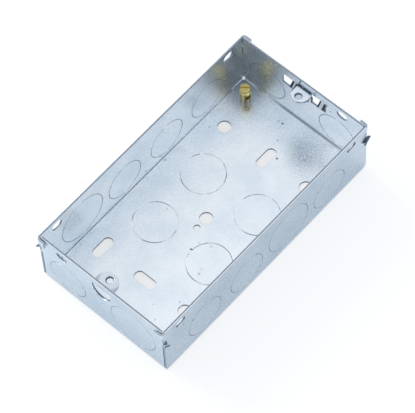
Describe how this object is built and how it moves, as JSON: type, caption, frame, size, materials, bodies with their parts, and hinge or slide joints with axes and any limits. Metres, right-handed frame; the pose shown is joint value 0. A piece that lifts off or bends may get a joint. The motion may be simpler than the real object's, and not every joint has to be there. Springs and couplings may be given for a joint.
{
  "type": "metal back box",
  "caption": "Open rectangular flush back box folded from zinc-plated sheet steel, with knockouts, fixing holes, a fixed and a sliding screw lug and a brass earth terminal.",
  "frame": {"origin": "centre of the underside of the floor", "axes": "+X along the box towards the end wall with the sliding lug, +Y across the box towards the long wall beside the earth terminal, +Z from the floor up to the open rim"},
  "size_m": [0.135, 0.0742, 0.035],
  "materials": {
    "zinc_sheet": "zinc-coated sheet steel, soft gloss",
    "lug_sheet": "zinc-plated steel strip, gloss",
    "terminal_brass": "turned brass",
    "screw_brass": "turned brass"
  },
  "bodies": {
    "box": {"box_shell": "zinc_sheet", "earth_terminal": "terminal_brass"},
    "lug": {"adjustable_lug": "lug_sheet"},
    "screw": {"terminal_screw": "screw_brass"}
  },
  "joints": [
    {"name": "lug_slide", "type": "slide", "parent": "box", "child": "lug", "axis": [0, 1, 0], "range_m": [0, 0.0036]},
    {"name": "clamp_screw_turn", "type": "hinge", "parent": "box", "child": "screw", "pos_m": [0.0573, 0.0272, 0.009], "axis": [0, 0, 1], "range_deg": [0, 1080]}
  ]
}
